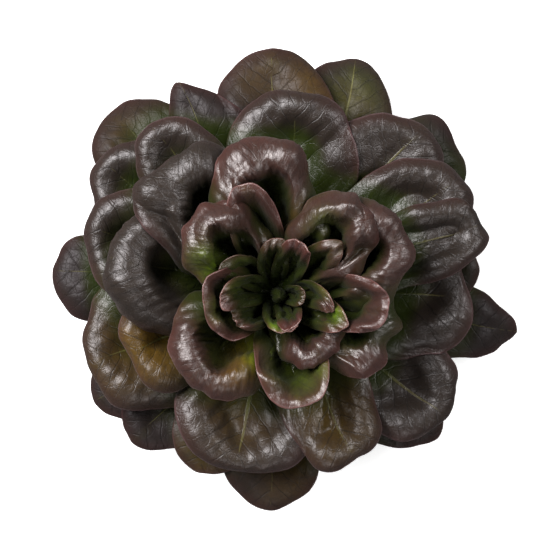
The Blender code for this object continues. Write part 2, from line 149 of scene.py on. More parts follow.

# Leaf tissue of each group: purple where sunlit, olive and bright green where shaded, edge the reddish margin's
# lighter line, partly a painted highlight. Gloss is the roughness, shine the specular level, tint the colour of
# highlights, crease the strength of the fine relief, and size the scale of the veins
TISSUES = {
    "outer": dict(
        purple=(0.017, 0.0125, 0.0112), olive=(0.027, 0.023, 0.003), bright=(0.033, 0.037, 0.003),
        edge=(0.060, 0.028, 0.028), gloss=0.40, size=1.0, shine=0.16, tint=(1.0, 0.96, 1.0), crease=0.8,
    ),
    "middle": dict(
        purple=(0.021, 0.0150, 0.0112), olive=(0.032, 0.029, 0.003), bright=(0.035, 0.046, 0.003),
        edge=(0.075, 0.038, 0.038), gloss=0.33, size=1.0, shine=0.42, tint=(1.0, 0.96, 0.98), crease=0.75,
    ),
    "inner": dict(
        purple=(0.038, 0.0170, 0.0125), olive=(0.040, 0.038, 0.003), bright=(0.048, 0.086, 0.002),
        edge=(0.140, 0.065, 0.060), gloss=0.30, size=0.85, shine=0.62, tint=(1.0, 0.95, 0.95), crease=0.5,
    ),
    "heart": dict(
        purple=(0.042, 0.0160, 0.0125), olive=(0.036, 0.042, 0.003), bright=(0.055, 0.105, 0.003),
        edge=(0.170, 0.080, 0.070), gloss=0.27, size=0.55, shine=0.65, tint=(1.0, 0.94, 0.94), crease=0.45,
    ),
}

# Clouds and fine mottling of the tissue, and the wander of its side veins: scale, detail and roughness
CLOUDS = (0.045, 4.0, 0.6)
MOTTLING = (0.35, 3.0, 0.55)
VEIN_CLOUDS = (0.09, 2.0, 0.5)

# Side veins in the tissue, in millimetres: how far they are shifted, the widths of their dark core and of their
# soft edge, how far off the midrib they are strong and where they are weak, and their least strength
VEIN_SHIFT = 5.0
VEIN_EDGE = (0.12, 0.55)
VEIN_REACH = (8.0, 26.0, 0.35)

# The net of veins and the fine net: how far both are shifted, their scales, and the widths of their lines
NET_SHIFT = 2.2
NET_SCALE = 0.17
NET_WIDTH = 0.07
FINE_NET_SCALE = 0.5
FINE_NET_WIDTH = 0.1

# How dark the veins and both nets are, and how far each layer stands out of the surface (below 0, lies in it)
VEIN_SHADE = 0.7
NET_SHADE = 0.4
FINE_NET_SHADE = 0.18
VEIN_RISE = -0.2
NET_RISE = -0.1
FINE_NET_RISE = -0.05
MOTTLING_RISE = 0.1
MIDRIB_RISE = 0.2

# Other colours of the leaves and of the stem
AMBER_GLOW = (0.105, 0.055, 0.003)
GREEN_GLOW = (0.080, 0.145, 0.003)
SHADE = (0.012, 0.006, 0.008)
VEIN_DARK = (0.006, 0.005, 0.004)
MIDRIB_ON_PURPLE = (0.10, 0.085, 0.03)
MIDRIB_ON_GREEN = (0.17, 0.18, 0.05)
UNDERSIDE = (0.050, 0.035, 0.020)
# Dark green of hollows: painted shade over greener tissue
HOLLOW_GREEN_PAINTED_SHADE = (0.0115, 0.0195, 0.0010)
STEM_PALE = ((0.52, 0.55, 0.27), (0.66, 0.66, 0.42))
STEM_BROWN = (0.42, 0.26, 0.12)
STEM_GREEN = (0.085, 0.105, 0.020)

# Stem: scale, detail and roughness of its streaks and flecks, and the heights between which it turns green
STEM_STREAKS = (60.0, 4.0, 0.6)
STEM_FLECKS = (420.0, 3.0, 0.6)
STEM_GREENING = (6.0 * MM, 30.0 * MM)

# Studio: each lamp's place, side and watts, the light from all round, the white floor, and the height aimed at
LAMPS = {
    "key": ((-0.82, 0.56, 1.05), 0.85, 47.0),
    "fill": ((0.85, 0.3, 0.9), 0.6, 10.0),
    "low": ((0.1, -0.95, 0.9), 0.6, 4.0),
}
LIGHT_ALL_ROUND = 0.09
FLOOR_HALF_SIDE = 12.0
FLOOR_LEVEL = -0.5 * MM
FLOOR_GLOW = 0.6
HALF_HEIGHT = 0.05

# Camera: the photograph's side and the stem's axis in it, in pixels, metres a pixel at half the head's height,
# and the camera's height
PHOTO_SIDE = 555
AXIS_PIXEL = (277, 293)
PIXEL = 0.54 * MM
CAMERA_HEIGHT = 1.5
SENSOR_WIDTH = 36.0

# The kinds of leaf: flat outer ones, cupped middle ones, hoods that roll outwards over a deep hollow,
# cups that stand up with a thin rim, and the small leaves of the heart. Angles are in degrees, lengths in mm:
# - curl is how far the blade bends up (or, below 0, down) towards its tip, side_curl the same at its sides,
#   and turn the share of a rib where that begins
# - rim is how far the margin stands above the bowl at the tip, and side_rim the same at the sides; it rises
#   from the share foot of a rib over the share wall, and dies away past the angle fade from the tip
# - cup is how far the sides stand above the midrib, hollow the share of the reach where the midrib ends, and
#   broad the share where the blade is widest
# - root is the half width of the stalk at the stem, and swirl a turn of the leaf's tip round the head
# - waves and ruffle are the number and the slope of the margin's waves, phase where they start, and point how
#   pointed the tip is
# - green is how green the leaf is towards its root, quilt how high its blade stands between the side veins, and
#   pale how wide its midrib is
OUTER = dict(
    curl=-30, side_curl=-30, turn=0.45, rim=3, side_rim=2, foot=0.3, wall=0.7, fade=80, cup=0, hollow=0.74,
    broad=0.66, root=5.5, swirl=0, waves=3.0, ruffle=9, phase=0.0, point=1.0,
    green=0.25, quilt=0.4, pale=0.6,
)
MIDDLE = dict(
    curl=-62, side_curl=-46, turn=0.42, rim=11, side_rim=9, foot=0.25, wall=0.65, fade=80, cup=3, hollow=0.64,
    broad=0.64, root=5.5, swirl=0, waves=2.5, ruffle=10, phase=0.3, point=0.85,
    green=0.4, quilt=0.5, pale=0.6,
)
HOOD = dict(
    curl=-100, side_curl=-90, turn=0.5, rim=32, side_rim=26, foot=0.2, wall=0.36, fade=100, cup=3, hollow=0.5,
    broad=0.62, root=5.0, swirl=0, waves=2.0, ruffle=10, phase=0.1, point=0.75,
    green=0.62, quilt=0.9, pale=0.6,
)
CUP = dict(
    curl=-20, side_curl=-5, turn=0.7, rim=30, side_rim=26, foot=0.3, wall=0.6, fade=90, cup=3, hollow=0.5,
    broad=0.62, root=5.0, swirl=0, waves=2.0, ruffle=10, phase=0.1, point=0.75,
    green=0.5, quilt=0.6, pale=0.6,
)
HEART = dict(
    curl=-20, side_curl=-8, turn=0.6, rim=28, side_rim=18, foot=0.1, wall=0.7, fade=95, cup=3, hollow=0.45,
    broad=0.58, root=3.5, swirl=0, waves=1.5, ruffle=14, phase=0.2, point=0.8,
    green=0.65, quilt=0.4, pale=0.5,
)


def leaf(kind, azimuth, reach, width, **changes):
    """One leaf: its azimuth from +X, how far its tip is from the stem's axis, its width, and its changes."""
    return dict(kind, azimuth=azimuth, reach=reach, width=width, **changes)


# From the lowest leaf to the highest, which is the order in which they lie on each other
OUTER_LEAVES = {
    "outer_leaf_01": leaf(OUTER, -9, 134, 42, point=1.3),
    "outer_leaf_02": leaf(OUTER, 42, 129, 56, point=0.5, phase=0.4, green=0.0),
    "outer_leaf_03": leaf(OUTER, 67, 136, 60, swirl=4, phase=0.7, green=0.8, pale=1.2),
    "outer_leaf_04": leaf(OUTER, 132, 136, 60, point=0.8, green=0.6),
    "outer_leaf_05": leaf(OUTER, 174, 125, 56, phase=0.2),
    "outer_leaf_06": leaf(OUTER, -149, 117, 50, green=0.9),
    "outer_leaf_07": leaf(OUTER, -43, 118, 50, point=1.2, phase=0.5),
    "outer_leaf_08": leaf(OUTER, -134, 113, 52, phase=0.8, green=0.9),
    "outer_leaf_09": leaf(OUTER, -92, 119, 56, phase=0.3, green=0.6),
    "outer_leaf_10": leaf(OUTER, -114, 107, 50, green=0.9),
    "outer_leaf_11": leaf(OUTER, 23, 116, 50, phase=0.6),
    "outer_leaf_12": leaf(OUTER, 91, 133, 68, phase=0.1, green=0.8),
    "outer_leaf_13": leaf(OUTER, 115, 126, 54, point=1.8, phase=0.4),
    "outer_leaf_14": leaf(OUTER, 7, 110, 46),
}
MIDDLE_LEAVES = {
    "middle_leaf_01": leaf(MIDDLE, -159, 110, 78, phase=0.1, green=1.0),
    "middle_leaf_02": leaf(MIDDLE, 143, 121, 58),
    "middle_leaf_03": leaf(MIDDLE, -36, 114, 62, phase=0.6, pale=1.1),
    "middle_leaf_04": leaf(MIDDLE, 49, 119, 66, phase=0.0, pale=1.0, green=0.7),
    "middle_leaf_05": leaf(MIDDLE, 84, 107, 74, phase=0.5, green=0.6),
    "middle_leaf_06": leaf(MIDDLE, -1, 105, 70),
    "middle_leaf_07": leaf(MIDDLE, 160, 108, 60, phase=0.8),
    "middle_leaf_08": leaf(MIDDLE, 32, 117, 54, phase=0.2),
    "middle_leaf_09": leaf(MIDDLE, -104, 98, 76, phase=0.6, pale=0.9, green=0.55),
    "middle_leaf_10": leaf(MIDDLE, -65, 101, 52, point=1.0, green=0.8),
    "middle_leaf_11": leaf(MIDDLE, 19, 118, 42, phase=0.7, pale=0.8),
    "middle_leaf_12": leaf(
        MIDDLE, -158, 88, 56, rim=14, side_rim=12, foot=0.15, curl=-70, side_curl=-60, green=1.0, pale=1.0
    ),
    "middle_leaf_13": leaf(MIDDLE, 127, 113, 48, phase=0.4),
    "middle_leaf_14": leaf(HOOD, 168, 90, 68, rim=24, side_rim=20, hollow=0.42, foot=0.12, root=5.5, quilt=0.5),
    "middle_leaf_15": leaf(HOOD, 130, 94, 64, rim=25, side_rim=20, foot=0.14, root=5.5, quilt=0.5),
}
INNER_LEAVES = {
    "inner_leaf_01": leaf(HOOD, -135, 65, 60),
    "inner_leaf_02": leaf(HOOD, 98, 83, 54, side_rim=30),
    "inner_leaf_03": leaf(CUP, -78, 61, 38, green=1.0),
    "inner_leaf_04": leaf(HOOD, -23, 67, 54, phase=0.4, rim=22, side_rim=16),
    "inner_leaf_05": leaf(HOOD, 25, 74, 58, phase=0.7),
    "inner_leaf_06": leaf(HOOD, -52, 43, 38, rim=26, side_rim=20),
    "inner_leaf_07": leaf(CUP, -8, 59, 30),
    "inner_leaf_08": leaf(HOOD, 46, 65, 44, side_rim=28),
    "inner_leaf_09": leaf(HOOD, 138, 60, 46, side_rim=28, phase=0.3),
    "inner_leaf_10": leaf(CUP, 108, 59, 28, rim=22, side_rim=18, green=0.9),
    "inner_leaf_11": leaf(CUP, -168, 39, 38, phase=0.5),
}
HEART_LEAVES = {
    "heart_leaf_01": leaf(HEART, 58, 45, 19, curl=-130, side_curl=-100),
    "heart_leaf_02": leaf(HEART, -24, 40, 19, side_rim=16, point=1.1, green=0.6),
    "heart_leaf_03": leaf(HEART, 137, 33, 18, phase=0.6, swirl=18),
    "heart_leaf_04": leaf(HEART, 38, 43, 19, curl=-40, phase=0.8, point=1.3),
    "heart_leaf_05": leaf(HEART, -128, 27, 18, phase=0.4, swirl=-20),
    "heart_leaf_06": leaf(HEART, 104, 29, 17, curl=-60, swirl=-15),
    "heart_leaf_07": leaf(HEART, 8, 31, 14, curl=-50, phase=0.9, swirl=-25, point=1.2, green=0.6),
    "heart_leaf_08": leaf(HEART, -98, 21, 17, green=0.6, swirl=25),
    "heart_leaf_09": leaf(HEART, 168, 30, 18, phase=0.7, swirl=20),
    "heart_leaf_10": leaf(HEART, 66, 30, 18, curl=-30, phase=0.5),
    "heart_leaf_11": leaf(HEART, -48, 20, 15, rim=26, swirl=-20),
    "heart_leaf_12": leaf(HEART, -8, 15, 11, rim=24, phase=0.9),
}

# Where the tissue is thin and light glows through: place, radius in millimetres, amber or bright green, share
GLOWS = {
    "outer_leaf_03": [(46, 108, 20, "bright", 0.12), (40, 98, 18, "amber", 0.3)],
    "outer_leaf_04": [(-80, 84, 20, "amber", 0.2)],
    "outer_leaf_09": [(4, -94, 20, "amber", 0.45)],
    "outer_leaf_10": [(-40, -86, 16, "amber", 0.4)],
    "outer_leaf_12": [(20, 108, 22, "amber", 0.5), (-8, 118, 18, "amber", 0.25)],
    "middle_leaf_01": [(-84, -34, 26, "amber", 0.35)],
    "middle_leaf_09": [(-20, -62, 20, "amber", 0.4)],
    "middle_leaf_10": [(30, -66, 22, "amber", 0.5)],
    "middle_leaf_12": [(-70, -28, 26, "amber", 0.8)],
    "inner_leaf_01": [(-15, -36, 13, "amber", 1.0), (-8, -32, 9, "bright", 0.8)],
    "inner_leaf_02": [(3, 30, 7, "amber", 0.9), (8, 38, 7, "amber", 0.4)],
    "inner_leaf_03": [(2, -42, 9, "bright", 0.25), (14, -45, 9, "bright", 0.35), (24, -39, 6, "bright", 0.6)],
    "inner_leaf_04": [(26, -22, 9, "bright", 0.35)],
    "inner_leaf_05": [(28, 30, 9, "bright", 0.3)],
    "inner_leaf_08": [(24, 34, 8, "bright", 0.45)],
    "inner_leaf_09": [(-40, 8, 7, "amber", 0.9), (-36, 14, 10, "bright", 0.8), (-24, 22, 7, "bright", 0.5)],
    "inner_leaf_11": [(-30, -8, 7, "bright", 0.4)],
    "heart_leaf_02": [(31, -10, 5.5, "bright", 1.0)],
    "heart_leaf_03": [(-18, 15, 5, "bright", 0.5)],
    "heart_leaf_07": [(27, 3, 5, "bright", 0.7)],
    "heart_leaf_08": [(-1, -17, 4.5, "bright", 1.0)],
    "heart_leaf_09": [(-22, 3, 5, "bright", 0.4)],
}


def smooth(x):
    """0 below 0, 1 above 1, and an even turn between them."""
    x = np.clip(x, 0.0, 1.0)
    return x * x * (3 - 2 * x)


def fading(angle, start, over):
    """1 round the tip of the blade, and less towards the root from an angle on."""
    return 1 - smooth((np.abs(angle) - start) / over)


def outline(one, around, root_radius):
    """Plan of the margin, for angles around the blade from its tip (0) to its root (pi), either side."""
    reach, half, root = one["reach"] * MM, one["width"] * MM / 2, one["root"] * MM
    middle = root_radius + (reach - root_radius) * one["broad"]
    front, back = reach - middle, middle - root_radius
    cosine, sine = np.cos(around), np.clip(np.sin(np.abs(around)), 0, 1)
    x = middle + np.where(cosine > 0, front, back) * cosine
    y = np.where(cosine > 0, half * sine ** one["point"], root + (half - root) * sine ** STALK)
    return x, y * np.sign(around)


def bowl(radius, level):
    """Height of the bowl of that level at a distance from the stem's axis."""
    offsets = np.linspace(-1, 1, 9) * BOWL_EASE
    radius = radius[..., None] / MM + offsets
    low = np.interp(radius, BOWL_RADII, LOW_BOWL).mean(axis=-1)
    high = np.interp(radius, BOWL_RADII, HIGH_BOWL).mean(axis=-1)
    return (low + (high - low) * level) * MM


def rib_paths(one, around, start_x, edge_x, edge_y, share):
    """Run, height, length and heading of each rib, which bends away from its bowl at the margin."""
    cosine = np.cos(around)
    tip = (np.clip(cosine, 0, 1) ** 1.5)[:, None]
    blade = fading(around, math.radians(one["fade"]), CURL_FADES_OVER)[:, None]
    middle = (share[1:] + share[:-1]) / 2
    bending = smooth((middle - one["turn"]) / (1 - one["turn"]))[None, :]
    waves = np.sin(around * one["waves"] + one["phase"] * 2 * math.pi)[:, None]
    bend = one["curl"] * tip + one["side_curl"] * (1 - tip) + one["ruffle"] * waves
    bend = np.radians(bend * blade) * bending
    away = np.hypot(edge_x - start_x, edge_y)
    heading = np.arctan2(edge_y, edge_x - start_x)
    length = away.copy()
    half = one["width"] * MM / 2
    front = fading(around, *RIM_FRONT)[:, None]
    rim = (one["side_rim"] + (one["rim"] - one["side_rim"]) * front) * MM
    for _ in range(RUN_ROUNDS):
        out = share * length[:, None]
        x, y = start_x[:, None] + out * np.cos(heading)[:, None], out * np.sin(heading)[:, None]
        height = bowl(np.hypot(x, y), one["level"]) + one["cup"] * MM * (y / half) ** 2
        height = height + rim * smooth((share - one["foot"]) / one["wall"]) * blade
        across, up = np.diff(out, axis=1), np.diff(height, axis=1)
        slope, step = np.arctan2(up, across) + bend, np.hypot(across, up)
        run, rise = np.cumsum(np.cos(slope) * step, axis=1), np.cumsum(np.sin(slope) * step, axis=1)
        length = length * away / run.max(axis=1)
    start = np.zeros((len(around), 1))
    run, rise, arc = (np.hstack([start, v]) for v in (run, rise, np.cumsum(step, axis=1)))
    return run, height[:, :1] + rise, arc, heading


def waves_of(seed, x, y, shortest, longest):
    """Even, seeded unevenness about 0, from a few crossing waves between two wavelengths in millimetres."""
    rng = np.random.default_rng(seed)
    total = np.zeros_like(x)
    for _ in range(CROSSING_WAVES):
        turn, phase = rng.uniform(0, 2 * math.pi, 2)
        number = 2 * math.pi / rng.uniform(shortest, longest)
        total += np.sin(number * (x * math.cos(turn) + y * math.sin(turn)) + phase)
    return total / math.sqrt(CROSSING_WAVES)


def grid_of(one, seed, ribs, steps, root_radius):
    """The leaf's middle surface as a grid of ribs and steps: places, flat coordinates, angles and shares."""
    even = np.linspace(-1, 1, 2 * ribs + 1)
    around = math.pi * np.sign(even) * np.abs(even) ** RIB_SPREAD
    edge_x, edge_y = outline(one, around, root_radius)
    end_x = root_radius + (one["reach"] * MM - root_radius) * one["hollow"]
    start_x = root_radius + (end_x - root_radius) * np.clip((1 + np.cos(around)) / 2, 0, 1) ** 0.9
    rng = np.random.default_rng(seed)
    lobes = sum(
        rng.uniform(0.6, 1.0) * np.sin(around * n + rng.uniform(0, 2 * math.pi)) * LOBE_DEPTH / n
        for n in LOBES
        if n < ribs / 2
    )
    lobes = lobes * fading(around, *LOBES_END)
    edge_x, edge_y = start_x + (edge_x - start_x) * (1 + lobes), edge_y * (1 + lobes)
    share = np.linspace(0, 1, steps + 1) ** STEP_SPREAD
    run, height, arc, heading = rib_paths(one, around, start_x, edge_x, edge_y, share)
    cosine, sine = np.cos(heading)[:, None], np.sin(heading)[:, None]
    x, y = start_x[:, None] + run * cosine, run * sine
    flat_x, flat_y = start_x[:, None] + arc * cosine, arc * sine
    angle, share = np.meshgrid(around, share, indexing="ij")
    return np.stack([x, y, height], axis=-1), flat_x / MM, flat_y / MM, angle, share


def grid_faces(ribs, steps):
    """Triangles of the grid, with the two halves joined along the midrib, and the points of its edge."""
    rows, last = 2 * ribs + 1, steps
    number = np.arange(rows * (steps + 1)).reshape(rows, steps + 1)
    number[ribs + 1 :, 0] = number[:ribs, 0][::-1]
    a, b, c, d = number[:-1, :-1], number[:-1, 1:], number[1:, 1:], number[1:, :-1]
    left = (np.arange(rows - 1) < ribs)[:, None] & np.ones_like(a, bool)
    one = np.where(left[..., None], np.stack([a, b, c], -1), np.stack([a, b, d], -1)).reshape(-1, 3)
    two = np.where(left[..., None], np.stack([a, c, d], -1), np.stack([b, c, d], -1)).reshape(-1, 3)
    faces = np.concatenate([one, two])
    sound = (faces[:, 0] != faces[:, 1]) & (faces[:, 1] != faces[:, 2]) & (faces[:, 2] != faces[:, 0])
    edge = list(number[:, last]) + [number[-1, j] for j in range(last - 1, -1, -1)]
    edge += [number[0, j] for j in range(1, last)]
    return faces[sound], np.array(edge)


def turned(one, grid):
    """The leaf's places swirled round the head and turned to its azimuth."""
    x, y, z = grid[..., 0], grid[..., 1], grid[..., 2]
    radius, angle = np.hypot(x, y), np.arctan2(y, x)
    swirl = one["swirl"] * (radius / (one["reach"] * MM)) ** 2
    angle = angle + np.radians(one["azimuth"] + swirl)
    return np.stack([radius * np.cos(angle), radius * np.sin(angle), z], axis=-1)


def grid_normals(grid):
    """Upward normal at each place of the grid, from its neighbours."""
    along = np.gradient(grid, axis=0)
    out = np.gradient(grid, axis=1)
    ribs = grid.shape[0] // 2
    along[:, 0] = along[:, 1]
    up = np.cross(out, along)
    up /= np.maximum(np.linalg.norm(up, axis=-1), 1e-12)[..., None]
    up[:, 0] = (up[:, 1] + up[::-1, 1]) / 2
    up[ribs, 0] = up[ribs, 1]
    up /= np.maximum(np.linalg.norm(up, axis=-1), 1e-12)[..., None]
    return up


class Heap:
    """Height of the top of what has been laid so far, on a square grid of cells."""

    def __init__(self):
        self.count = int(2 * MAP_HALF_SIDE / MAP_CELL)
        self.top = np.zeros((self.count, self.count))

    def cells(self, points):
        """Numbers of the cells that hold these points."""
        index = ((points[..., :2] + MAP_HALF_SIDE) / MAP_CELL).astype(int)
        return np.clip(index, 0, self.count - 1)

    def add(self, grid):
        """Raise the map to a surface given as a grid of places."""
        for s in FILLING_STEPS:
            rows = grid[:-1] * (1 - s) + grid[1:] * s
            for t in FILLING_STEPS:
                places = rows[:, :-1] * (1 - t) + rows[:, 1:] * t
                cell = self.cells(places)
                np.maximum.at(self.top, (cell[..., 0].ravel(), cell[..., 1].ravel()), places[..., 2].ravel())
        margin = self.cells(grid[:, -1])
        np.maximum.at(self.top, (margin[:, 0], margin[:, 1]), grid[:, -1, 2])

    def height(self, points):
        """Height of the heap at these points, the most of each cell and its neighbours."""
        cell = self.cells(points)
        wide = np.pad(self.top, 1, mode="edge")
        near = [wide[i : i + self.count, j : j + self.count] for i in range(3) for j in range(3)]
        wide = np.max(near, axis=0)
        return wide[cell[..., 0], cell[..., 1]]


def spread(lift, grid):
    """The lift passed on from each place of the grid to its neighbours, less as they are farther off."""
    ribs = lift.shape[0] // 2
    plan = grid[..., :2]
    down = np.linalg.norm(np.diff(plan, axis=0), axis=-1) * LIFT_SLOPE
    out = np.linalg.norm(np.diff(plan, axis=1), axis=-1) * LIFT_SLOPE
    for _ in range(2):
        for j in range(1, lift.shape[1]):
            lift[:, j] = np.maximum(lift[:, j], lift[:, j - 1] - out[:, j - 1])
        for j in range(lift.shape[1] - 2, -1, -1):
            lift[:, j] = np.maximum(lift[:, j], lift[:, j + 1] - out[:, j])
        lift[:, 0] = np.maximum(lift[:, 0], lift[::-1, 0])
        for k in range(1, lift.shape[0]):
            lift[k] = np.maximum(lift[k], lift[k - 1] - down[k - 1])
        for k in range(lift.shape[0] - 2, -1, -1):
            lift[k] = np.maximum(lift[k], lift[k + 1] - down[k])
    lift[:, 0] = np.maximum(lift[:, 0], lift[::-1, 0])
    return lift


def laid(grid, half, heap):
    """How far each place of the grid has to rise for the leaf to be clear above what was laid before."""
    lift = np.zeros(grid.shape[:2])
    for _ in range(LIFT_ROUNDS):
        moved = grid.copy()
        moved[..., 2] += lift
        lower = moved - grid_normals(moved) * half[..., None]
        short = heap.height(lower) + LEAF_GAP - lower[..., 2]
        if short.max() < NEAR_ENOUGH:
            break
        lift = spread(lift + np.clip(short, 0, None), grid)
    return lift


def new_mesh(name, points, faces):
    """A mesh object from arrays of points and triangles."""
    mesh = bpy.data.meshes.new(name)
    mesh.vertices.add(len(points))
    mesh.vertices.foreach_set("co", points.astype(np.float32).ravel())
    mesh.loops.add(3 * len(faces))
    mesh.loops.foreach_set("vertex_index", faces.astype(np.int32).ravel())
    mesh.polygons.add(len(faces))
    mesh.polygons.foreach_set("loop_start", np.arange(len(faces), dtype=np.int32) * 3)
    mesh.update(calc_edges=True)
    mesh.shade_smooth()
    made = bpy.data.objects.new(name, mesh)
    bpy.context.scene.collection.objects.link(made)
    return made


def points_of(mesh):
    """Places of the mesh's points."""
    points = np.zeros(3 * len(mesh.vertices), np.float32)
    mesh.vertices.foreach_get("co", points)
    return points.reshape(-1, 3)


def point_values(mesh, name, values):
    """A number for each of the mesh's points, which materials read by name."""
    layer = mesh.attributes.new(name, "FLOAT", "POINT")
    layer.data.foreach_set("value", values.astype(np.float32).ravel())


def uneven(seed, x, y, kind, size):
    """Unevenness of a kind of relief, in millimetres, on a blade of that size."""
    height, shortest, longest = kind
    return height * size * waves_of(seed, x, y, shortest * size, longest * size)


def relief(one, seed, flat_x, flat_y, share, angle):
    """Height of the blade's veins, blisters and waves over its smooth form, in millimetres."""
    size = one["width"] / RELIEF_WIDTH
    across = np.abs(flat_y)
    blade = fading(angle, *RELIEF_END)
    q = (flat_x - across * VEIN_SWEEP - VEIN_BEND * across**2) / (VEIN_SPACING * size) + 0.5 * (flat_y > 0)
    wander, shortest, longest = VEIN_WANDER
    q = q + wander * waves_of(seed + 1, flat_x, flat_y, shortest, longest)
    between = np.abs(np.sin(math.pi * q))
    quilt = one["quilt"] * size * (between**1.4 - 0.6) + uneven(seed + 2, flat_x, flat_y, BLISTERS, size)
    even_edge = 1 - 0.8 * smooth((share - 0.8) / 0.2)
    quilt = quilt * smooth((across - QUILT_START) / QUILT_RISE) * blade * even_edge
    broad = uneven(seed + 3, flat_x, flat_y, BROAD_WAVES, size) * blade * smooth(share / 0.4)
    margin = smooth((share - FRILL_START) / (1 - FRILL_START)) * blade
    frill = one["ruffle"] * uneven(seed + 4, flat_x, flat_y, FRILL, size) * margin
    fold = FOLD_DEPTH * size * np.exp(-((across / (FOLD_HALF_WIDTH * size)) ** 2))
    fold = fold * smooth((one["reach"] * 0.97 - flat_x) / FOLD_END)
    return quilt + broad + frill - fold


def closed_shell(name, upper, lower):
    """A closed thin shell between two grids of places, and which of their points, upper first, it uses."""
    rows, columns = upper.shape[:2]
    faces, edge = grid_faces(rows // 2, columns - 1)
    count = rows * columns
    after = np.roll(edge, -1)
    skirt = np.concatenate(
        [np.stack([after, edge, count + edge], -1), np.stack([after, count + edge, count + after], -1)]
    )
    corners = np.concatenate([faces, count + faces[:, ::-1], skirt])
    points = np.concatenate([upper.reshape(-1, 3), lower.reshape(-1, 3)])
    used = np.unique(corners)
    renumber = np.zeros(len(points), int)
    renumber[used] = np.arange(len(used))
    return new_mesh(name, points[used], renumber[corners]), used


def flat_map(mesh, flat_x, flat_y):
    """Give the mesh its flat coordinates, in tenths of a metre."""
    uv = mesh.uv_layers.new(name="flat")
    corner = np.zeros(len(mesh.loops), int)
    mesh.loops.foreach_get("vertex_index", corner)
    uv.data.foreach_set("uv", np.stack([flat_x, flat_y], -1)[corner].astype(np.float32).ravel() / 100)


def glow_at(name, tint, place):
    """How strongly light of one tint glows through the leaf at each place."""
    glow = np.zeros(len(place))
    for x, y, radius, kind, strength in GLOWS.get(name, ()):
        if kind == tint:
            away = np.hypot(place[:, 0] - x, place[:, 1] - y) / radius
            glow = np.maximum(glow, strength * np.exp(-(away**2)))
    return glow


def mark_tissue(mesh, name, one, seed, root_radius, flat_x, flat_y, share, under):
    """Point values that the leaf's material reads: green, margin, under, amber, bright and rib."""
    place = points_of(mesh)[:, :2] / MM
    away = np.clip((flat_x - root_radius / MM) / (one["reach"] - root_radius / MM), 0, 1.3)
    green = 1 - smooth((away - 0.12) / 0.75) + 0.35 * np.exp(-((flat_y / 7) ** 2))
    point_values(mesh, "green", np.clip(one["green"] * green, 0, 1.2))
    point_values(mesh, "margin", share)
    point_values(mesh, "under", under)
    for tint in ("amber", "bright"):
        point_values(mesh, tint, glow_at(name, tint, place))
    wander, length = MIDRIB_WANDER
    bent_rib = np.abs(flat_y + wander * np.sin(flat_x / length + seed) * np.clip(away * 2, 0, 1))
    rib_width = MIDRIB_WIDTH * one["pale"] * one["width"] / RELIEF_WIDTH * (1.12 - away)
    point_values(mesh, "rib", bent_rib / np.maximum(rib_width, LEAST_MIDRIB))


def thickness(flat_y, share, from_root):
    """Thickness of the leaf: most at the root and the midrib, least at the margin."""
    along = np.exp(-((flat_y / RIB_HALF_WIDTH) ** 2))
    near = 1 - smooth(from_root / ROOT_LENGTH)
    thick = MARGIN_THICKNESS + (RIB_THICKNESS - MARGIN_THICKNESS) * along * (1 - share * 0.3)
    return thick + (ROOT_THICKNESS - RIB_THICKNESS) * near * along


def build_leaf(name, one, seed, size, root_radius, heap, most, below):
    """One leaf as a closed thin shell, laid on the heap, with its flat coordinates and colour masks."""
    ribs, steps = size
    grid, flat_x, flat_y, angle, share = grid_of(one, seed, ribs, steps, root_radius)
    grid = turned(one, grid)
    raised = relief(one, seed, flat_x, flat_y, share, angle) * MM
    from_root = np.hypot(grid[..., 0], grid[..., 1]) - root_radius
    raised = raised * smooth(from_root / ROOT_CALM)
    raised[:, 0] = (raised[:, 0] + raised[::-1, 0]) / 2
    grid = grid + grid_normals(grid) * raised[..., None]
    half = thickness(flat_y, share, from_root) / 2
    grid[..., 2] += np.minimum(laid(grid, half, heap), most)
    if below is not None:
        grid[..., 2] += laid(grid, half, below)
    up = grid_normals(grid)
    upper, lower = grid + up * half[..., None], grid - up * half[..., None]
    heap.add(upper)
    made, used = closed_shell(f"blade_{name}", upper, lower)
    flat_x, flat_y, share = (np.concatenate([v.ravel(), v.ravel()])[used] for v in (flat_x, flat_y, share))
    under = (used >= upper.shape[0] * upper.shape[1]).astype(float)
    flat_map(made.data, flat_x, flat_y)
    mark_tissue(made.data, name, one, seed, root_radius, flat_x, flat_y, share, under)
    return made


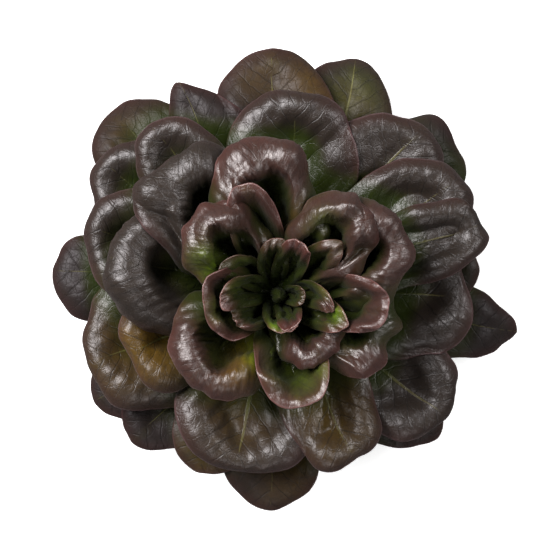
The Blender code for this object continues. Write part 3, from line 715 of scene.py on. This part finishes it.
class Nodes:
    """Short calls for laying out a material's nodes."""

    def __init__(self, name):
        self.material = bpy.data.materials.new(name)
        self.material.use_nodes = True
        self.tree = self.material.node_tree
        self.shader = self.tree.nodes["Principled BSDF"]

    def link(self, source, target):
        """Join an output to an input."""
        self.tree.links.new(source, target)

    def set(self, node, index, value):
        """Give an input a value, or join an output to it."""
        if isinstance(value, bpy.types.NodeSocket):
            self.link(value, node.inputs[index])
        else:
            node.inputs[index].default_value = value

    def math(self, operation, first, second=0.0, third=0.0, clamp=False):
        """Result of a sum on one to three values."""
        node = self.tree.nodes.new("ShaderNodeMath")
        node.operation, node.use_clamp = operation, clamp
        self.set(node, 0, first)
        self.set(node, 1, second)
        if operation == "MULTIPLY_ADD":
            self.set(node, 2, third)
        return node.outputs[0]

    def band(self, value, low, high, to_low=0.0, to_high=1.0):
        """Smooth step of value between low and high."""
        node = self.tree.nodes.new("ShaderNodeMapRange")
        node.interpolation_type = "SMOOTHSTEP"
        for index, v in enumerate((value, low, high, to_low, to_high)):
            self.set(node, index, v)
        return node.outputs[0]

    def attribute(self, name):
        """One of the mesh's point values."""
        node = self.tree.nodes.new("ShaderNodeAttribute")
        node.attribute_name = name
        return node.outputs["Fac"]

    def flat(self):
        """Flat coordinates of the leaf, in millimetres."""
        node = self.tree.nodes.new("ShaderNodeUVMap")
        node.uv_map = "flat"
        parts = self.split(node.outputs[0])
        x, y = (self.math("MULTIPLY", parts[i], 100.0) for i in (0, 1))
        both = self.tree.nodes.new("ShaderNodeCombineXYZ")
        self.link(x, both.inputs[0])
        self.link(y, both.inputs[1])
        return x, y, both.outputs[0]

    def noise(self, vector, scale, detail, rough):
        """Cloudy unevenness."""
        node = self.tree.nodes.new("ShaderNodeTexNoise")
        self.link(vector, node.inputs["Vector"])
        node.inputs["Scale"].default_value = scale
        node.inputs["Detail"].default_value = detail
        node.inputs["Roughness"].default_value = rough
        return node

    def cells(self, vector, scale):
        """Distance to the nearest wall of a net of cells."""
        node = self.tree.nodes.new("ShaderNodeTexVoronoi")
        node.feature = "DISTANCE_TO_EDGE"
        self.link(vector, node.inputs["Vector"])
        node.inputs["Scale"].default_value = scale
        return node.outputs["Distance"]

    def shifted(self, vector, by, amount):
        """The vector moved by a noise's colour times an amount."""
        offset = self.tree.nodes.new("ShaderNodeVectorMath")
        offset.operation = "MULTIPLY_ADD"
        self.link(by, offset.inputs[0])
        offset.inputs[1].default_value = (amount, amount, 0)
        self.link(vector, offset.inputs[2])
        return offset.outputs[0]

    def bump(self, height, strength, distance):
        """Give the surface a fine relief."""
        node = self.tree.nodes.new("ShaderNodeBump")
        node.inputs["Strength"].default_value = strength
        node.inputs["Distance"].default_value = distance
        self.link(height, node.inputs["Height"])
        self.link(node.outputs[0], self.shader.inputs["Normal"])

    def split(self, vector):
        """The three coordinates of a vector."""
        node = self.tree.nodes.new("ShaderNodeSeparateXYZ")
        self.link(vector, node.inputs[0])
        return node.outputs

    def mix(self, share, first, second):
        """Blend of two colours."""
        node = self.tree.nodes.new("ShaderNodeMix")
        node.data_type = "RGBA"
        self.set(node, 0, share)
        for index, colour in ((6, first), (7, second)):
            if isinstance(colour, tuple):
                node.inputs[index].default_value = (*colour, 1.0)
            else:
                self.link(colour, node.inputs[index])
        return node.outputs[2]


def vein_lines(n, x, y, flat, fine, size):
    """Side veins, a net and a fine net, each 1 on its lines and 0 off them."""
    wander = n.noise(flat, *VEIN_CLOUDS)
    bent = n.split(n.shifted(flat, wander.outputs["Color"], VEIN_SHIFT))
    bent_side = n.math("ABSOLUTE", n.math("SUBTRACT", bent[1], VEIN_SHIFT / 2))
    curve = n.math("MULTIPLY", n.math("MULTIPLY", bent_side, bent_side), VEIN_BEND)
    lead = n.math("SUBTRACT", bent[0], n.math("ADD", n.math("MULTIPLY", bent_side, VEIN_SWEEP), curve))
    q = n.math("DIVIDE", lead, VEIN_SPACING * size)
    q = n.math("ADD", q, n.math("MULTIPLY", n.math("GREATER_THAN", y, 0.0), 0.5))
    turn = n.math("ABSOLUTE", n.math("SUBTRACT", n.math("FRACT", q), 0.5))
    far = n.math("MULTIPLY", turn, VEIN_SPACING * size * 0.75)
    sharp, soft = VEIN_EDGE
    veins = n.math("SUBTRACT", 1.0, n.band(far, sharp * size, soft * size), clamp=True)
    strong, weak, least = VEIN_REACH
    side = n.math("ABSOLUTE", y)
    veins = n.math("MULTIPLY", veins, n.band(side, weak * size, strong * size, least, 1.0))
    net_place = n.shifted(flat, fine.outputs["Color"], NET_SHIFT)
    net = n.band(n.cells(net_place, NET_SCALE / size), 0.0, NET_WIDTH, 1.0, 0.0)
    fine_net = n.band(n.cells(net_place, FINE_NET_SCALE / size), 0.0, FINE_NET_WIDTH, 1.0, 0.0)
    return veins, net, fine_net


def leaf_material(name, purple, olive, bright, edge, gloss, size, shine, tint, crease):
    """Leaf tissue: purple over green, a pale midrib, side veins, a fine net and a reddish margin whose lighter
    edge line is partly a painted highlight.
    """
    n = Nodes(name)
    x, y, flat = n.flat()
    green, margin, rib, under, deep = (n.attribute(v) for v in ("green", "margin", "rib", "under", "deep"))
    amber, glow = n.attribute("amber"), n.attribute("bright")
    cloudy = n.noise(flat, *CLOUDS).outputs[0]
    fine = n.noise(flat, *MOTTLING)
    veins, net, fine_net = vein_lines(n, x, y, flat, fine, size)
    midrib = n.band(rib, 0.55, 1.1, 1.0, 0.0)

    # Purple, olive and bright green, and the light that glows through
    cloud = n.math("MULTIPLY", n.math("SUBTRACT", cloudy, 0.5), 1.4)
    greenness = n.math("ADD", green, cloud, clamp=True)
    greenness = n.math("ADD", n.band(greenness, 0.12, 0.85), n.math("MULTIPLY", deep, 0.5), clamp=True)
    lush = n.math("MULTIPLY", n.band(green, 0.45, 1.0), n.band(cloudy, 0.35, 0.65, 0.4, 1.0))
    patchy = n.band(cloudy, 0.3, 0.6, 0.55, 1.0)
    tissue = n.mix(greenness, purple, olive)
    tissue = n.mix(lush, tissue, bright)
    tissue = n.mix(n.math("MULTIPLY", amber, patchy), tissue, AMBER_GLOW)
    tissue = n.mix(n.math("MULTIPLY", glow, patchy), tissue, GREEN_GLOW)
    tissue = n.mix(n.band(fine.outputs[0], 0.3, 0.7, 0.0, 0.35), tissue, n.mix(0.5, tissue, SHADE))

    # Veins, midrib and margin
    line = n.math("MAXIMUM", n.math("MULTIPLY", veins, VEIN_SHADE), n.math("MULTIPLY", net, NET_SHADE))
    line = n.math("MAXIMUM", line, n.math("MULTIPLY", fine_net, FINE_NET_SHADE))
    tissue = n.mix(line, tissue, n.mix(0.7, tissue, VEIN_DARK))
    pale_rib = n.mix(greenness, MIDRIB_ON_PURPLE, MIDRIB_ON_GREEN)
    tissue = n.mix(n.math("MULTIPLY", midrib, 0.6), tissue, pale_rib)
    flushed = (edge[0] * 0.55, edge[1] * 0.3, edge[2] * 0.25)
    tissue = n.mix(n.band(margin, 0.72, 1.0, 0.0, 0.35), tissue, flushed)
    # Thin lighter line at the very edge: reddish pigment, partly a painted highlight
    tissue = n.mix(n.band(margin, 0.96, 1.0, 0.0, 0.8), tissue, edge)

    # Underside, and painted shade in hollows: a dark green laid where nothing glows through
    tissue = n.mix(n.math("MULTIPLY", under, 0.35), tissue, UNDERSIDE)
    # Painted shade: hollows turn dark green by how deep they lie below the leaves around, less where light
    # glows through
    clear = n.math("MULTIPLY_ADD", n.math("MAXIMUM", amber, glow), -0.8, 0.85)
    tissue = n.mix(n.math("MULTIPLY", deep, clear, clamp=True), tissue, HOLLOW_GREEN_PAINTED_SHADE)
    n.link(tissue, n.shader.inputs["Base Color"])

    # Gloss and fine relief
    rough = n.math("MULTIPLY_ADD", fine.outputs[0], 0.22, gloss - 0.08)
    rough = n.math("MULTIPLY_ADD", line, 0.12, rough)
    n.link(rough, n.shader.inputs["Roughness"])
    height = n.math("MULTIPLY", veins, VEIN_RISE)
    height = n.math("MULTIPLY_ADD", net, NET_RISE, height)
    height = n.math("MULTIPLY_ADD", fine_net, FINE_NET_RISE, height)
    height = n.math("MULTIPLY_ADD", fine.outputs[0], MOTTLING_RISE, height)
    height = n.math("MULTIPLY_ADD", midrib, MIDRIB_RISE, height)
    n.bump(height, crease, 1.0 * MM)
    n.shader.inputs["Specular IOR Level"].default_value = shine
    n.shader.inputs["Specular Tint"].default_value = (*tint, 1.0)
    n.shader.inputs["Sheen Weight"].default_value = 0.02
    n.shader.inputs["Sheen Roughness"].default_value = 0.5
    return n.material


def build_bud(finish):
    """The closed bud in the middle: an egg with three folds that wind round it."""
    around, rows = BUD_POINTS_AROUND, BUD_ROWS
    share = np.linspace(0, 1, rows)
    theta = np.linspace(0, 2 * math.pi, around, endpoint=False)
    share, theta = np.meshgrid(share, theta, indexing="ij")
    fold = np.abs(np.sin(1.5 * theta + 2.6 * share)) ** 0.5
    closing = 1 - smooth((share - 0.6) / 0.4) * 0.97
    radius = (BUD_NECK + BUD_SWELL * np.sin(math.pi * share**0.8) ** 0.8) * closing
    radius = radius * (0.68 + 0.32 * fold) * MM
    x = radius * np.cos(theta) + BUD_LEAN[0] * MM * share
    y = radius * np.sin(theta) + BUD_LEAN[1] * MM * share
    points = np.stack([x, y, (BUD_FOOT + BUD_HEIGHT * share) * MM], -1).reshape(-1, 3)
    k = np.arange((rows - 1) * around).reshape(rows - 1, around)
    after = np.roll(k, -1, axis=1)
    faces = [np.stack([k, after, after + around], -1), np.stack([k, after + around, k + around], -1)]
    faces = [f.reshape(-1, 3) for f in faces]
    ring = np.arange(1, around - 1)
    low = np.stack([np.zeros_like(ring), ring + 1, ring], -1)
    high = np.stack([np.zeros_like(ring), ring, ring + 1], -1) + (rows - 1) * around
    made = new_mesh("heart_bud", points, np.concatenate([*faces, low, high]))
    flat_map(made.data, share.ravel() * BUD_HEIGHT, (theta.ravel() - math.pi) * 5)
    for value_name, value in (("green", 0.2), ("margin", 0.0), ("rib", 9.0), ("under", 0.0)):
        point_values(made.data, value_name, np.full(len(points), value))
    made.data.materials.append(finish)
    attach(made, "root")
    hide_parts("heart")
    return made


def widened(top, reach, how):
    """A square map in which each cell takes the most or the mean of the cells within its reach."""
    count = len(top)
    for _ in range(2):
        padded = np.pad(top, ((reach, reach), (0, 0)), mode="edge")
        top = how([padded[i : i + count] for i in range(2 * reach + 1)], axis=0).T
    return top


def mark_hollows(blades, heap):
    """How deep each point lies below the leaves around it, from 0 in the open to 1 deep in a hollow."""
    reach = int(HOLLOW_REACH / MAP_CELL)
    top = widened(widened(heap.top, reach, np.max), reach, np.mean)
    for blade in blades:
        points = points_of(blade.data)
        cell = heap.cells(points)
        below = top[cell[:, 0], cell[:, 1]] - points[:, 2]
        start, turn = next(v for k, v in HOLLOWS.items() if k in blade.name)
        # The material turns deep points greener and darkens them with painted shade
        point_values(blade.data, "deep", smooth((below / MM - start) / turn))


def add_stem(heap):
    """Raise the map to the top of the stem."""
    disc = np.linspace(-STEM_RADIUS, STEM_RADIUS, 40)
    x, y = np.meshgrid(disc, disc, indexing="ij")
    top = np.where(np.hypot(x, y) < STEM_RADIUS, STEM_TOP, 0.0)
    heap.add(np.stack([x, y, top], -1))


def build_all_leaves():
    """Every leaf from the lowest to the highest, then the bud."""
    heap = Heap()
    blades = []
    finishes = {group: leaf_material(f"{group}_leaf_tissue", **tissue) for group, tissue in TISSUES.items()}
    root_radius = STEM_RADIUS + ROOT_GAP
    groups = [
        ("outer", OUTER_LEAVES, OUTER_LEVELS, LARGE, root_radius, MOST_LARGE_LIFT),
        ("middle", MIDDLE_LEAVES, MIDDLE_LEVELS, LARGE, root_radius, MOST_LARGE_LIFT),
        ("inner", INNER_LEAVES, INNER_LEVELS, LARGE, TIP_ROOT_RADIUS, MOST_INNER_LIFT),
        ("heart", HEART_LEAVES, HEART_LEVELS, SMALL, TIP_ROOT_RADIUS, MOST_HEART_LIFT),
    ]
    seed, below = FIRST_SEED, None
    for group, leaves, levels, size, root, most in groups:
        if group == "inner":
            # From here on leaves stand on the stem's top, and rise clear of all that lies below without a limit
            add_stem(heap)
            below = Heap()
            below.top = heap.top.copy()
        for (name, one), level in zip(leaves.items(), np.linspace(*levels, len(leaves))):
            seed += SEED_STEP
            piece = build_leaf(name, dict(one, level=level), seed, size, root, heap, most, below)
            piece.data.materials.append(finishes[group])
            blades.append(piece)
            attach(piece, "root")
            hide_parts("heart" if group in ("inner", "heart") else name)
    blades.append(build_bud(finishes["heart"]))
    mark_hollows(blades, heap)


def stem_material():
    """Pale flesh with brown flecks, greener towards the leaves."""
    n = Nodes("stem_tissue")
    place = n.tree.nodes.new("ShaderNodeTexCoord").outputs["Object"]
    streak = n.noise(place, *STEM_STREAKS)
    fine = n.noise(place, *STEM_FLECKS)
    tissue = n.mix(n.band(streak.outputs[0], 0.35, 0.65), *STEM_PALE)
    tissue = n.mix(n.band(fine.outputs[0], 0.55, 0.75, 0.0, 0.5), tissue, STEM_BROWN)
    tissue = n.mix(n.band(n.split(place)[2], *STEM_GREENING, 0.0, 0.9), tissue, STEM_GREEN)
    n.link(tissue, n.shader.inputs["Base Color"])
    n.shader.inputs["Roughness"].default_value = 0.5
    n.bump(fine.outputs[0], 0.5, 0.6 * MM)
    return n.material


def set_stage():
    """A plain white floor, a wide soft light above and to the left, and weaker ones opposite."""
    side = FLOOR_HALF_SIDE
    corners = [(-side, -side), (side, -side), (side, side), (-side, side)]
    floor = new_mesh(
        "floor", np.array([(x, y, FLOOR_LEVEL) for x, y in corners]), np.array([(0, 1, 2), (0, 2, 3)])
    )
    plain = Nodes("floor_white")
    plain.shader.inputs["Base Color"].default_value = (0.9, 0.9, 0.9, 1)
    plain.shader.inputs["Roughness"].default_value = 0.9
    plain.shader.inputs["Emission Color"].default_value = (1, 1, 1, 1)
    plain.shader.inputs["Emission Strength"].default_value = FLOOR_GLOW
    floor.data.materials.append(plain.material)
    floor.visible_glossy = False
    world = bpy.data.worlds.new("studio")
    bpy.context.scene.world = world
    world.use_nodes = True
    world.node_tree.nodes["Background"].inputs[0].default_value = (1.0, 1.0, 1.0, 1)
    world.node_tree.nodes["Background"].inputs[1].default_value = LIGHT_ALL_ROUND
    for name, (place, side, power) in LAMPS.items():
        lamp = bpy.data.lights.new(name, "AREA")
        lamp.shape, lamp.size, lamp.energy = "SQUARE", side, power
        made = bpy.data.objects.new(name, lamp)
        made.location = place
        aim = -made.location
        aim.z += HALF_HEIGHT
        made.rotation_euler = aim.to_track_quat("-Z", "Y").to_euler()
        bpy.context.scene.collection.objects.link(made)


def set_camera():
    """Straight above the head, framed as the photograph is."""
    middle = PHOTO_SIDE / 2
    data = bpy.data.cameras.new("camera")
    data.sensor_width = SENSOR_WIDTH
    data.lens = SENSOR_WIDTH * (CAMERA_HEIGHT - HALF_HEIGHT) / (PHOTO_SIDE * PIXEL)
    camera = bpy.data.objects.new("camera", data)
    camera.location = ((middle - AXIS_PIXEL[0]) * PIXEL, (AXIS_PIXEL[1] - middle) * PIXEL, CAMERA_HEIGHT)
    bpy.context.scene.collection.objects.link(camera)
    bpy.context.scene.camera = camera


set_camera()
set_stage()
build_all_leaves()
stem = bpy.data.objects["stem"]
stem.data.materials.clear()
stem.data.materials.append(stem_material())
bpy.context.scene.view_settings.view_transform = "Standard"
